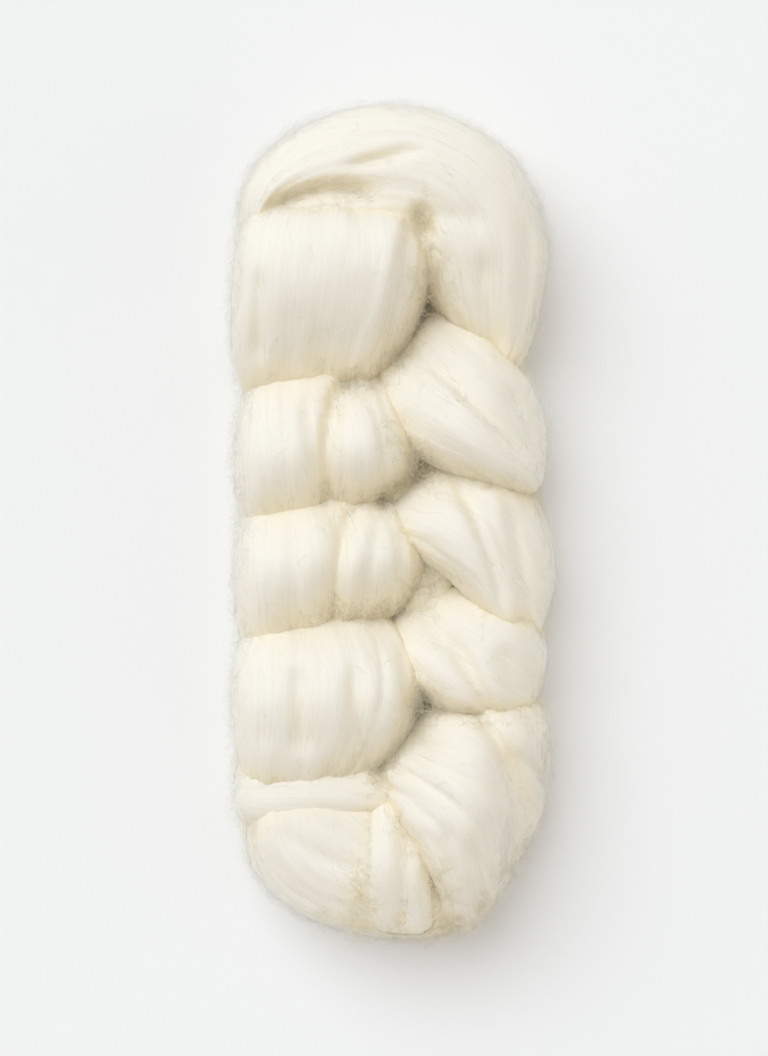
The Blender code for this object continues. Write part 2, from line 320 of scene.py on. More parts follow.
def along_ribs(ribs, place):
    """A rib's five values at places from 0, the first rib, to 1, the last, by a Catmull-Rom spline."""
    rows = np.array(ribs, float)
    rows = np.vstack([2 * rows[0] - rows[1], rows, 2 * rows[-1] - rows[-2]])
    spans = len(ribs) - 1
    span = np.minimum((np.clip(place, 0, 1) * spans).astype(int), spans - 1)
    t = (place * spans - span)[..., None]
    before, first, last, after = (rows[span + k] for k in range(4))
    return 0.5 * (
        2 * first
        + (last - before) * t
        + (2 * before - 5 * first + 4 * last - after) * t**2
        + (3 * first - before - 3 * last + after) * t**3
    )


def noise(rng, along, across):
    """Smooth noise from -1 to 1, with about one wave for each unit of either coordinate."""
    size = 64
    table = rng.uniform(-1, 1, (size, size))
    low_a, low_c = np.floor(along).astype(int), np.floor(across).astype(int)
    part_a, part_c = smooth_step(along - low_a), smooth_step(across - low_c)
    corner = [[table[(low_a + i) % size, (low_c + j) % size] for j in (0, 1)] for i in (0, 1)]
    low = corner[0][0] * (1 - part_c) + corner[0][1] * part_c
    high = corner[1][0] * (1 - part_c) + corner[1][1] * part_c
    return low * (1 - part_a) + high * part_a


def along_line(line, plan):
    """Where places in plan lie along a line, 0 to 1, how far to its left, and how long the line is."""
    start = np.array([line.from_x, line.from_y], float)
    course = np.array([line.to_x, line.to_y]) - start
    length = max(np.linalg.norm(course), 1e-6)
    share = (plan - start) @ course / length**2
    left = (plan - start) @ np.array([-course[1], course[0]]) / length
    return share, left, length


def fold_depth(turn, plan):
    """How much the folds of a turn lower its crest at places in plan, in millimetres."""
    valley = np.zeros(plan.shape[:-1])
    stepped = np.zeros(plan.shape[:-1])
    for fold in FOLDS:
        if fold.turn != turn.name:
            continue
        share, left, _ = along_line(fold, plan)
        away = left - fold.bow * 4 * share * (1 - share)
        from_edge = np.sqrt(away**2 + FOLD_EDGE**2) - FOLD_EDGE
        shown = smooth_step(share / FOLD_FADE) * smooth_step((1 - share) / FOLD_FADE)
        near = shown * np.exp(-from_edge / fold.width)
        valley += (fold.depth * near) ** 2
        stepped -= fold.step * np.tanh(away / FOLD_EDGE) * near
    return np.sqrt(valley) + stepped


def pit_depth(plan):
    """How much the pits lower every turn at places in plan, in millimetres."""
    depth = np.zeros(plan.shape[:-1])
    for pit in PITS:
        share, left, length = along_line(pit, plan)
        beyond = (share - np.clip(share, 0, 1)) * length
        depth += pit.depth * np.exp(-(beyond**2 + left**2) / pit.radius**2)
    return depth


class Skin:
    """The surface of one turn, as rings of points from pole to pole.

    A lengthwise skin has its poles at the ends of the fibres, and the others have them at the turn's two
    sides.
    """

    def __init__(self, turn, lowest, rng):
        self.turn = turn
        self.lengthwise = turn.form == "tube"
        hidden = turn.name == "core" or turn.name.startswith("back")
        ribs = np.array(turn.ribs, float)
        middles = (ribs[:, 0:2] + ribs[:, 2:4]) / 2
        path = np.linalg.norm(np.diff(middles, axis=0), axis=1).sum()
        width = np.linalg.norm(ribs[:, 2:4] - ribs[:, 0:2], axis=1).mean()
        height = ribs[:, 4].mean() - turn.base
        along_step = HIDDEN_STEP if hidden else ALONG_STEP
        across_step = HIDDEN_STEP if hidden else ACROSS_STEP
        if self.lengthwise:
            self.rings = round((path + height) / along_step)
            self.sides = round(2 * (width + height) / across_step)
        else:
            self.rings = round((width + height) / across_step)
            self.sides = round(2 * (path + height) / along_step)
        self.points = self.plain()
        self.normals = self.find_normals()
        self.find_lengths()
        if not hidden:
            self.points += self.normals * self.relief(rng)[..., None]
        self.points[..., 2] = np.maximum(self.points[..., 2], lowest)

    def plain(self):
        """The turn with its folds, before its grooves."""
        turn = self.turn
        ring = np.sin(np.linspace(-np.pi / 2, np.pi / 2, self.rings + 1))[:, None]
        angle = np.linspace(-np.pi / 2, 3 * np.pi / 2, self.sides, endpoint=False)[None, :]
        reach, height = outline(angle, turn.section)
        reach = closing(ring, turn.plan) * reach
        height = closing(ring, np.where(ring < 0, turn.first, turn.last)) * height
        along, across = (ring + 0 * angle, reach) if self.lengthwise else (reach, ring + 0 * angle)
        rib = along_ribs(turn.ribs, (along + 1) / 2)
        left, right, top = rib[..., 0:2], rib[..., 2:4], rib[..., 4] - turn.lean * across
        share = ((across + 1) / 2)[..., None]
        plan = left * (1 - share) + right * share
        half_height = (top - turn.base - fold_depth(turn, plan) - pit_depth(plan)) / 2
        level = turn.base + (1 + height) * half_height
        return np.concatenate([plan, level[..., None]], axis=-1)

    def find_normals(self):
        """Outward directions, from the steps to the neighbouring points."""
        down_rings = np.gradient(self.points, axis=0)
        round_sides = np.roll(self.points, -1, axis=1) - np.roll(self.points, 1, axis=1)
        normals = np.cross(down_rings, round_sides)
        normals[0] = normals[1].mean(axis=0)
        normals[-1] = normals[-2].mean(axis=0)
        normals /= np.maximum(np.linalg.norm(normals, axis=-1, keepdims=True), 1e-9)
        outward = self.points - self.points.mean(axis=(0, 1))
        return normals if (normals * outward).sum() > 0 else -normals

    def find_lengths(self):
        """How far each ring lies from the first pole and each side from the seam, and the cells' areas."""
        ring_steps = np.linalg.norm(np.diff(self.points, axis=0), axis=-1)
        self.ring_place = np.concatenate([[0], np.cumsum(ring_steps.mean(axis=1))])
        closed = np.concatenate([self.points, self.points[:, :1]], axis=1)
        side_steps = np.linalg.norm(np.diff(closed, axis=1), axis=-1)
        self.side_place = np.concatenate([[0], np.cumsum(side_steps.max(axis=0))])
        self.ring_step = np.maximum(np.gradient(self.ring_place), SHORTEST_STEP)
        self.side_step = np.maximum(np.gradient(self.side_place[:-1]), SHORTEST_STEP)
        ring_size = np.linalg.norm(np.gradient(self.points, axis=0), axis=-1)
        side_size = np.linalg.norm(np.roll(self.points, -1, axis=1) - self.points, axis=-1)
        self.cells = ring_size * side_size

    def relief(self, rng):
        """How far the surface stands in or out between its strands, in millimetres."""
        rings = self.ring_place[:, None]
        sides = self.side_place[None, :-1]
        along, across = (rings, sides) if self.lengthwise else (sides, rings)
        depth = 0
        for groove in GROOVES:
            wander = noise(rng, along / groove.length, across / (GROOVE_SPAN * groove.apart))
            waves = noise(rng, along / groove.length, across / groove.apart + wander)
            depth = depth - groove.depth * np.exp(-((waves / GROOVE_SHARE) ** 2))
        for tuft in TUFTS:
            depth = depth + tuft.height * noise(rng, along / tuft.length, across / tuft.apart)
        seam = np.minimum(sides, self.side_place[-1] - sides)
        poles = np.minimum(rings, self.ring_place[-1] - rings)
        flat = np.abs(self.normals[..., 2]) / FLAT_SLOPE
        depth = depth * LOOSENESS.get(self.turn.name, 1.0)
        return depth * smooth_step(seam / SEAM_FADE) * smooth_step(poles / END_FADE) * smooth_step(flat)

    def at(self, ring, side, values):
        """Values of the grid between its points."""
        ring = np.clip(ring, 0, self.rings - 1e-6)
        side = np.mod(side, self.sides)
        low_r, low_s = ring.astype(int), side.astype(int) % self.sides
        part_r, part_s = (ring - low_r)[..., None], (side - np.floor(side))[..., None]
        next_s = (low_s + 1) % self.sides
        upper = values[low_r, low_s] * (1 - part_s) + values[low_r, next_s] * part_s
        lower = values[low_r + 1, low_s] * (1 - part_s) + values[low_r + 1, next_s] * part_s
        return upper * (1 - part_r) + lower * part_r


def fit_to_frame(skins):
    """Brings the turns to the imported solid's box, in metres."""
    everything = np.concatenate([skin.points.reshape(-1, 3) for skin in skins])
    low, high = everything.min(axis=0), everything.max(axis=0)
    scale = (CAD_HIGH - CAD_LOW) / (high - low)
    for skin in skins:
        skin.points = CAD_LOW + (skin.points - low) * scale
        skin.normals = skin.find_normals()


def mesh_arrays(skin):
    """Vertices, quads and triangles of a skin, with one vertex at each pole."""
    points = skin.points
    vertices = np.concatenate(
        [points[0].mean(axis=0)[None], points[1:-1].reshape(-1, 3), points[-1].mean(axis=0)[None]]
    )
    ring, side = np.meshgrid(np.arange(skin.rings - 2), np.arange(skin.sides), indexing="ij")
    after = (side + 1) % skin.sides
    here = 1 + ring * skin.sides
    beyond = here + skin.sides
    quads = np.stack([here + side, here + after, beyond + after, beyond + side], -1)
    around = np.arange(skin.sides)
    after = (around + 1) % skin.sides
    last = len(vertices) - 1
    fans = np.concatenate([
        np.stack([0 * around, 1 + after, 1 + around], -1),
        np.stack([0 * around + last, last - skin.sides + around, last - skin.sides + after], -1),
    ])
    return vertices, quads.reshape(-1, 4), fans


def tree_of(skins):
    """All skins together, for rays."""
    vertices, faces = [], []
    for skin in skins:
        points, quads, fans = mesh_arrays(skin)
        start = len(vertices)
        vertices.extend(points.tolist())
        faces.extend((quads + start).tolist())
        faces.extend((fans + start).tolist())
    return BVHTree.FromPolygons(vertices, faces)


def new_mesh(name, vertices, quads, triangles):
    """A mesh of quads followed by triangles, shaded smooth."""
    mesh = bpy.data.meshes.new(name)
    corners = np.concatenate([quads.ravel(), triangles.ravel()])
    sizes = np.concatenate([np.full(len(quads), 4), np.full(len(triangles), 3)])
    mesh.vertices.add(len(vertices))
    mesh.vertices.foreach_set("co", vertices.astype(np.float32).ravel())
    mesh.loops.add(len(corners))
    mesh.loops.foreach_set("vertex_index", corners.astype(np.int32))
    mesh.polygons.add(len(sizes))
    mesh.polygons.foreach_set("loop_start", np.concatenate([[0], np.cumsum(sizes)[:-1]]).astype(np.int32))
    mesh.update(calc_edges=True)
    mesh.shade_smooth()
    return mesh


def set_values(mesh, name, values):
    """One value for each vertex, which the materials read by name."""
    layer = mesh.attributes.new(name, "FLOAT", "POINT")
    layer.data.foreach_set("value", np.asarray(values, dtype=np.float32))


def add_piece(name, mesh, material):
    """A piece of wool that rides with the plait."""
    piece = bpy.data.objects.new(name, mesh)
    bpy.context.scene.collection.objects.link(piece)
    mesh.materials.append(material)
    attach(piece, "root")
    return piece


def flow_map(mesh, skin, quads, fans):
    """A UV map whose U runs along the fibres and whose V runs across them, in units of FLOW_UNIT."""
    ring_of = np.repeat(np.arange(1, skin.rings), skin.sides)
    ring_of = np.concatenate([[0], ring_of, [skin.rings]])
    side_of = np.concatenate([[0], np.tile(np.arange(skin.sides), skin.rings - 1), [0]])
    corner_sets = []
    for faces in (quads, fans):
        side = side_of[faces].astype(int)
        ring = ring_of[faces]
        pole = (ring == 0) | (ring == skin.rings)
        other = np.where(pole, 0, side).max(axis=1, keepdims=True)
        crosses = (other == skin.sides - 1) & (side == 0) & ~pole
        side = np.where(crosses, skin.sides, side)
        side = np.where(pole, other, side)
        corner_sets.append(np.stack([skin.ring_place[ring], skin.side_place[side]], -1).reshape(-1, 2))
    places = np.concatenate(corner_sets) / FLOW_UNIT
    if not skin.lengthwise:
        places = places[:, ::-1]
    layer = mesh.uv_layers.new(name="flow")
    layer.data.foreach_set("uv", places.astype(np.float32).ravel())


def dress_turn(skin, material):
    """The visual piece of one turn."""
    vertices, quads, fans = mesh_arrays(skin)
    mesh = new_mesh(skin.turn.name, vertices, quads, fans)
    flow_map(mesh, skin, quads, fans)
    # The painted shade goes to the mesh as its depth value, which the wool material reads.
    depth = np.concatenate([[skin.depth[0].mean()], skin.depth[1:-1].ravel(), [skin.depth[-1].mean()]])
    set_values(mesh, "depth", depth)
    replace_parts(add_piece(skin.turn.name, mesh, material), NODE)


# ---------------------------------------------------------------------------------------------------------
# Painted shade, kept as each point's depth
#
# How deep a place lies among the turns: the share of its light that the wool round it takes, painted as
# shade, warmer and darker, into the colours. It is worked out on some of a skin's rings and sides, with
# SHADE_RAYS rays from SHADE_GAP above the wool, SHADE_REACH long. It is blurred SHADE_PASSES times, and is
# full where SHADE_FULL of the light is gone. Places turned to the key light are spared up to SHADE_SPARED
# of this painted shade, and most where SHADE_LIT of that light falls on them. Those turned away from the
# key light get a little more: SHADE_SLOPE of what they lack, SHADE_SLOPE_MOST at most.
SHADE_RAYS = 32
SHADE_REACH = 30 * MM
SHADE_GAP = 0.4 * MM
SHADE_FULL = 0.4
SHADE_PASSES = 2
SHADE_LIT = 0.9
SHADE_SPARED = 0.8
SHADE_SLOPE = 0.45
SHADE_SLOPE_MOST = 0.07
SHADE_RING_STEP = 2
SHADE_SIDE_STEP = 2


def even_directions(count):
    """Directions over the upper half sphere, denser towards its top, as the light on a level face is."""
    step = np.arange(count) + 0.5
    level = np.sqrt(1 - step / count)
    radius = np.sqrt(step / count)
    turn = step * np.pi * (3 - np.sqrt(5))
    return np.stack([radius * np.cos(turn), radius * np.sin(turn), level], -1)


def light_taken(tree, place, frame_axes, rays):
    """The share of light that other wool takes from a place, and whether it lies inside another turn."""
    start = Vector(place)
    taken, inside = 0, 0
    for ray in (rays @ frame_axes).tolist():
        ray = Vector(ray)
        _, normal, _, distance = tree.ray_cast(start, ray, SHADE_REACH)
        if distance is None:
            continue
        taken += 1 - distance / SHADE_REACH
        inside += normal.dot(ray) > 0
    return taken / len(rays), inside > len(rays) / 2


def blurred(values):
    """A grid blurred a little, round its sides too."""
    padded = np.concatenate([values[:1], values, values[-1:]])
    values = (padded[:-2] + 2 * padded[1:-1] + padded[2:]) / 4
    return (np.roll(values, 1, axis=1) + 2 * values + np.roll(values, -1, axis=1)) / 4


def spread_over(skin, ring_at, side_at, values):
    """Values that are known on some rings and sides of a skin, spread over all of its points."""
    rings = np.arange(skin.rings + 1)
    sides = np.arange(skin.sides)
    on_rings = np.stack([np.interp(rings, ring_at, column) for column in values.T], 1)
    return np.stack([np.interp(sides, side_at, row, period=skin.sides) for row in on_rings])


def painted_shade_among_turns(skin, tree):
    """Painted shade on each point of a skin, 0 to 1, from how deep it lies and how it faces the key lamp."""
    ring_at = np.unique(np.append(np.arange(0, skin.rings, SHADE_RING_STEP), skin.rings))
    side_at = np.arange(0, skin.sides, SHADE_SIDE_STEP)
    points = skin.points[np.ix_(ring_at, side_at)]
    up = skin.normals[np.ix_(ring_at, side_at)]
    first = np.cross(up, [0.0, 0.0, 1.0])
    first[np.linalg.norm(first, axis=-1) < 1e-3] = (1.0, 0.0, 0.0)
    first /= np.linalg.norm(first, axis=-1, keepdims=True)
    frames = np.stack([first, np.cross(up, first), up], axis=-2)
    rays = even_directions(SHADE_RAYS)
    taken = np.zeros(points.shape[:2])
    seen = np.zeros(points.shape[:2])
    for place in np.ndindex(taken.shape):
        lifted = points[place] + up[place] * SHADE_GAP
        taken[place], inside = light_taken(tree, lifted, frames[place], rays)
        seen[place] = not inside
    for _ in range(SHADE_PASSES):
        total, weight = blurred(taken * seen), blurred(seen)
        taken = np.where(weight > 0, total / np.maximum(weight, 1e-6), taken)
        seen = np.minimum(weight, 1)
    full = spread_over(skin, ring_at, side_at, taken) / SHADE_FULL
    towards_key = skin.normals @ (np.array(KEY.place) / np.linalg.norm(KEY.place))
    lit = smooth_step(towards_key / SHADE_LIT)
    turned_away = np.minimum(SHADE_SLOPE * (1 - lit), SHADE_SLOPE_MOST)
    return np.clip(full * (1 - SHADE_SPARED * lit) + turned_away, 0, 1)


# ---------------------------------------------------------------------------------------------------------
# Materials
#
# The colours from dark to pale: of the mass of wool; of single fibres, paler than the mass, partly their own
# colour and partly painted light on the fuzz; and of the hairs in the creases, painted darker and warmer as
# shaded hairs.
WOOL_DARK = (0.888, 0.843, 0.742, 1)
WOOL_PALE = (0.93, 0.89, 0.803, 1)
FUZZ_DARK = (0.96, 0.935, 0.87, 1)
FUZZ_PALE = (0.99, 0.98, 0.94, 1)
CREASE_DARK = (0.92, 0.87, 0.72, 1)
CREASE_PALE = (0.98, 0.955, 0.87, 1)

# What a colour is multiplied by for painted shade: at open faces, at HOLLOW_SHADE among the turns, with red
# raised a little there as a painted glow, and deep in the creases.
OPEN_TINT = (1.0, 1.0, 1.0, 1)
HOLLOW_SHADE = 0.4
HOLLOW_SHADE_TINT = (1.03, 0.982, 0.855, 1)
DEEP_SHADE_TINT = (0.96, 0.905, 0.76, 1)

# The streaks of fibres: how many there are in a FLOW_UNIT along the fibres and across them, between which
# values of their noise the wool goes from dark to pale, and how far they stand out.
STREAKS = (3.0, 70.0, 1.0)
STREAK_DARK = 0.3
STREAK_PALE = 0.7
STREAK_HEIGHT = 0.3 * MM
STREAK_STRENGTH = 0.10


def with_painted_shade(nodes, links, colour):
    """The colour with painted shade: warmer and darker where the wool round it takes the light."""
    # The painted shade is read from each point's depth value.
    depth = nodes.new("ShaderNodeAttribute")
    depth.attribute_name = "depth"
    shade_tints = nodes.new("ShaderNodeValToRGB")
    shade_tints.color_ramp.elements[0].color = OPEN_TINT
    shade_tints.color_ramp.elements[1].color = DEEP_SHADE_TINT
    shade_tints.color_ramp.elements.new(HOLLOW_SHADE).color = HOLLOW_SHADE_TINT
    links.new(depth.outputs["Fac"], shade_tints.inputs["Fac"])
    shade_mix = nodes.new("ShaderNodeMix")
    shade_mix.data_type = "RGBA"
    shade_mix.blend_type = "MULTIPLY"
    shade_mix.inputs["Factor"].default_value = 1.0
    links.new(colour, shade_mix.inputs["A"])
    links.new(shade_tints.outputs["Color"], shade_mix.inputs["B"])
    return shade_mix.outputs["Result"]


def wool(name):
    """Cream combed wool: streaks along the fibres, and painted shade, warmer and darker, in the creases."""
    material = bpy.data.materials.new(name)
    material.use_nodes = True
    nodes, links = material.node_tree.nodes, material.node_tree.links
    finish = nodes["Principled BSDF"]
    finish.inputs["Roughness"].default_value = 0.9
    finish.inputs["Sheen Weight"].default_value = 1.0
    finish.inputs["Sheen Roughness"].default_value = 0.35
    finish.inputs["Specular IOR Level"].default_value = 0.15
    place = nodes.new("ShaderNodeUVMap")
    place.uv_map = "flow"
    stretch = nodes.new("ShaderNodeMapping")
    stretch.inputs["Scale"].default_value = STREAKS
    links.new(place.outputs["UV"], stretch.inputs["Vector"])
    streaks = nodes.new("ShaderNodeTexNoise")
    streaks.inputs["Scale"].default_value = 1.0
    streaks.inputs["Detail"].default_value = 5.0
    streaks.inputs["Roughness"].default_value = 0.65
    links.new(stretch.outputs["Vector"], streaks.inputs["Vector"])
    tint = nodes.new("ShaderNodeValToRGB")
    tint.color_ramp.elements[0].position = STREAK_DARK
    tint.color_ramp.elements[0].color = WOOL_DARK
    tint.color_ramp.elements[1].position = STREAK_PALE
    tint.color_ramp.elements[1].color = WOOL_PALE
    links.new(streaks.outputs["Fac"], tint.inputs["Fac"])
    links.new(with_painted_shade(nodes, links, tint.outputs["Color"]), finish.inputs["Base Color"])
    relief = nodes.new("ShaderNodeBump")
    relief.inputs["Distance"].default_value = STREAK_HEIGHT
    relief.inputs["Strength"].default_value = STREAK_STRENGTH
    links.new(streaks.outputs["Fac"], relief.inputs["Height"])
    links.new(relief.outputs["Normal"], finish.inputs["Normal"])
    return material


def fibre_finish(name, sheen, dark, pale):
    """Single wool fibres, dark to pale, with painted shade: a little glossier than the mass of them."""
    material = bpy.data.materials.new(name)
    material.use_nodes = True
    nodes, links = material.node_tree.nodes, material.node_tree.links
    finish = nodes["Principled BSDF"]
    finish.inputs["Roughness"].default_value = 0.8
    finish.inputs["Sheen Weight"].default_value = sheen
    finish.inputs["Sheen Roughness"].default_value = 0.5
    finish.inputs["Specular IOR Level"].default_value = 0.3
    shade = nodes.new("ShaderNodeAttribute")
    shade.attribute_name = "shade"
    tint = nodes.new("ShaderNodeValToRGB")
    tint.color_ramp.elements[0].color = dark
    tint.color_ramp.elements[1].color = pale
    links.new(shade.outputs["Fac"], tint.inputs["Fac"])
    links.new(with_painted_shade(nodes, links, tint.outputs["Color"]), finish.inputs["Base Color"])
    return material


# ---------------------------------------------------------------------------------------------------------
# Loose fibres
#
# A layer of fibres: how many, how many points each has, how long they are, how far they turn from the
# turn's own fibres (in radians), how far they wander, how high they stand, how many of them have a free end,
# and how thick they are. Open, flank and crease are how often they are found on the turns' open faces, on
# the plait's outer sides and in its creases. The layers in SHADING_LAYERS shade the wool, the others don't.
Layer = namedtuple("Layer", "name count points length slant wander lift free thickness open flank crease")

FIBRE_LAYERS = [
    Layer("combed", 600, 7, (18, 50), 0.06, 0.8, (0.02, 0.12), 0.0, 0.04, 1, 1, 0),
    Layer("lifted", 1500, 6, (8, 24), 0.30, 1.6, (0.3, 1.5), 0.3, 0.05, 1, 2, 1),
    Layer("creased", 8000, 5, (2.5, 8), 1.2, 1.2, (0.2, 2.0), 0.5, 0.095, 0.005, 0.08, 1),
    Layer("halo", 17500, 5, (4, 11), 1.2, 1.8, (0.4, 4.5), 0.6, 0.06, 0.02, 1, 0),
    Layer("edge", 3500, 6, (5, 13), 1.4, 2.2, (1.0, 5.0), 0.7, 0.07, 0, 1, 0),
    Layer("lock", 1300, 7, (12, 40), 0.10, 0.9, (0.0, 0.12), 0.1, 0.15, 1, 1, 0.3),
]
SHADING_LAYERS = ("creased",)

# A fibre's sides, between which shares of its layer's thickness it is, and how far it lies off the skin.
SPINDLE_SIDES = 3
THICKNESS_SPREAD = (0.7, 1.3)
SKIN_GAP = 0.02

# Fibres start within START_RANGE of the way between a skin's poles. A flank is a face whose direction has
# an upward part smaller than FLANK_SLOPE. Where that part is below UNDER_SLOPE, and on the bumps behind,
# fibres are UNDER_SHARE as frequent. START_TRIES places are tried for each fibre, and about START_TAKEN of
# them are taken, in up to FIBRE_ROUNDS rounds.
START_RANGE = (0.03, 0.97)
FLANK_SLOPE = 0.5
UNDER_SLOPE = -0.3
UNDER_SHARE = 0.25
START_TRIES = 20
START_TAKEN = 1 / 8
FIBRE_ROUNDS = 6

# How many skins a ray may cross, and how far past each of them it goes on, in metres.
MOST_CROSSINGS = 12
PAST_SKIN = 1e-5


def spindles(paths, normals, thickness):
    """Thin closed spindles along paths (fibre, point, xyz), pointed at both ends."""
    count, points, _ = paths.shape
    tangents = np.gradient(paths, axis=1)
    tangents /= np.maximum(np.linalg.norm(tangents, axis=-1, keepdims=True), 1e-9)
    sideways = np.cross(tangents, normals)
    sideways /= np.maximum(np.linalg.norm(sideways, axis=-1, keepdims=True), 1e-9)
    upwards = np.cross(sideways, tangents)
    inner = paths[:, 1:-1]
    rings = []
    for corner in range(SPINDLE_SIDES):
        angle = 2 * np.pi * corner / SPINDLE_SIDES
        offset = np.cos(angle) * upwards[:, 1:-1] + np.sin(angle) * sideways[:, 1:-1]
        rings.append(inner + offset * thickness[:, None, None] / 2)
    body = np.stack(rings, axis=2).reshape(count, -1, 3)
    vertices = np.concatenate([paths[:, :1], body, paths[:, -1:]], axis=1)
    each = vertices.shape[1]
    quads, fans = [], []
    for ring in range(points - 3):
        for corner in range(SPINDLE_SIDES):
            after = (corner + 1) % SPINDLE_SIDES
            low, high = 1 + ring * SPINDLE_SIDES, 1 + (ring + 1) * SPINDLE_SIDES
            quads.append((low + corner, low + after, high + after, high + corner))
    last = each - 1
    for corner in range(SPINDLE_SIDES):
        after = (corner + 1) % SPINDLE_SIDES
        fans.append((0, 1 + after, 1 + corner))
        fans.append((last, last - SPINDLE_SIDES + corner, last - SPINDLE_SIDES + after))
    start = (np.arange(count) * each)[:, None, None]
    quads = (np.array(quads)[None] + start).reshape(-1, 4)
    fans = (np.array(fans)[None] + start).reshape(-1, 3)
    return vertices.reshape(-1, 3), quads, fans


def turns_round(tree, point, direction):
    """How many closed skins hold the point: exits less entries along a ray."""
    held = 0
    start = point
    for _ in range(MOST_CROSSINGS):
        place, normal, _, _ = tree.ray_cast(start, direction)
        if place is None:
            break
        held += 1 if normal.dot(direction) > 0 else -1
        start = place + direction * PAST_SKIN
    return held


def start_places(skin, layer, count, rng):
    """Random places on a skin, as rings and sides, as frequent as the layer says for each kind of face."""
    tries = count * START_TRIES
    ring = rng.uniform(*START_RANGE, tries) * skin.rings
    side = rng.uniform(0, 1, tries) * skin.sides
    normal = skin.at(ring, side, skin.normals)
    place = skin.at(ring, side, skin.points)
    area = skin.at(ring, side, skin.cells[..., None])[:, 0]
    outward = (normal[:, 0:2] * place[:, 0:2] / CAD_HIGH[0:2]).sum(axis=1)
    on_flank = (np.abs(normal[:, 2]) < FLANK_SLOPE) & (outward > 0)
    depth = skin.at(ring, side, skin.depth[..., None])[:, 0]
    weight = area * np.where(on_flank, layer.flank, layer.open + layer.crease * depth**3)
    weight *= np.where(normal[:, 2] < UNDER_SLOPE, UNDER_SHARE, 1)
    chosen = rng.uniform(0, 1, tries) < weight / weight.mean() * START_TAKEN
    return ring[chosen][:count], side[chosen][:count]


def fibre_paths(skin, layer, count, rng):
    """Paths of a layer's fibres over one skin, the skin's normals under them, and their painted shade.

    A fibre rises in its middle, or up to its tip where that is free.
    """
    ring, side = start_places(skin, layer, count, rng)
    count = len(ring)
    ring, side = ring[:, None], side[:, None]
    t = np.linspace(0, 1, layer.points)[None, :]
    length = rng.uniform(*layer.length, count)[:, None]
    slant = rng.normal(0, layer.slant, count)[:, None]
    wander = rng.normal(0, layer.wander, (2, count))[:, :, None]
    drift = wander[0] * np.sin(np.pi * t) + wander[1] * np.sin(2 * np.pi * t)
    along = length * (t - 0.5) * np.cos(slant) - drift * np.sin(slant)
    across = length * (t - 0.5) * np.sin(slant) + drift * np.cos(slant)
    ring_step = skin.ring_step[np.clip(ring.astype(int), 0, skin.rings)]
    side_step = skin.side_step[side.astype(int) % skin.sides]
    if skin.lengthwise:
        ring, side = ring + along / ring_step, side + across / side_step
    else:
        ring, side = ring + across / ring_step, side + along / side_step
    ring = np.clip(ring, 0.5, skin.rings - 0.5)
    base = skin.at(ring, side, skin.points)
    normals = skin.at(ring, side, skin.normals)
    normals /= np.maximum(np.linalg.norm(normals, axis=-1, keepdims=True), 1e-9)
    depth = skin.at(ring, side, skin.depth[..., None])[..., 0].mean(axis=1)
    lowest, highest = layer.lift
    lift = lowest + (highest - lowest) * rng.uniform(0, 1, count)[:, None] ** 2
    free_end = rng.uniform(0, 1, count)[:, None] < layer.free
    rise = np.where(free_end, t**1.5, np.sin(np.pi * t) ** 0.7)
    height = (SKIN_GAP + lift * rise) * MM
    paths = base + normals * height[..., None]
    paths[..., 2] = np.maximum(paths[..., 2], layer.thickness * MM)
    return paths, normals, depth


def fibres_of(skin, layer, wanted, tree, rng):
    """A layer's fibres over one skin, without those that lie inside another turn."""
    found = []
    middle = layer.points // 2
    for _ in range(FIBRE_ROUNDS):
        for path, normal, depth in zip(*fibre_paths(skin, layer, wanted, rng)):
            if turns_round(tree, Vector(path[middle]), Vector(normal[middle])) > 0:
                continue
            found.append((path, normal, depth))
        if len(found) >= wanted:
            break
    paths, normals, painted_shades = zip(*found[:wanted])
    return np.array(paths), np.array(normals), np.array(painted_shades)


# Curly hairs that bridge the pits and some of the creases: from where to where in plan, how many, how far
# they are spread to the sides, and how long they are. They rise and curl a little, and are nowhere more
# than FRIZZ_SUNK under the wool. An end is at most FRIZZ_DROP below the other, and a hair has an end higher
# than FRIZZ_LOWEST. FRIZZ_PAINTED_SHADE is the range of painted shade they are given at random, for their
# colour.
Frizz = namedtuple("Frizz", "from_x from_y to_x to_y count spread length")

FRIZZ = [
    Frizz(9, 112, 13, 88, 90, 2.5, (3, 9)),
    Frizz(12, 86, 12, 80, 150, 4.0, (4, 11)),
    Frizz(10, 78, -2, 54, 130, 2.5, (3, 9)),
    Frizz(-4, 51, -22, 49, 90, 2.0, (3, 9)),
    Frizz(-6, 38, 8, 20, 70, 2.0, (3, 8)),
    Frizz(8, 22, 10, 19, 160, 4.0, (4, 11)),
    Frizz(6, 16, -14, 7, 110, 2.5, (3, 9)),
    Frizz(22, 20, 48, 12, 80, 2.0, (3, 8)),
    Frizz(18, -18, 8, -24, 100, 4.5, (4, 11)),
    Frizz(4, -30, -16, -33, 70, 2.0, (3, 8)),
    Frizz(12, -60, 6, -68, 150, 4.0, (4, 11)),
    Frizz(2, -75, -8, -92, 90, 2.5, (3, 9)),
    Frizz(-4, -84, -8, -90, 60, 1.8, (2, 6)),
    Frizz(20, -68, 50, -71, 50, 2.0, (3, 8)),
    Frizz(-2, -102, 16, -128, 60, 2.5, (3, 9)),
    Frizz(-46, 112, -6, 117, 70, 2.5, (4, 12)),
    Frizz(14, -118, 24, -146, 140, 3.0, (4, 12)),
    Frizz(-12, -120, -14, -148, 120, 2.5, (4, 12)),
    Frizz(52, -108, 30, -138, 120, 2.5, (3, 10)),
    Frizz(34, -136, 12, -147, 180, 3.0, (3, 8)),
    Frizz(12, -147, -34, -138, 120, 2.0, (3, 9)),
]
FRIZZ_POINTS = 6
FRIZZ_SUNK = 1
FRIZZ_DROP = 5
FRIZZ_LOWEST = 10
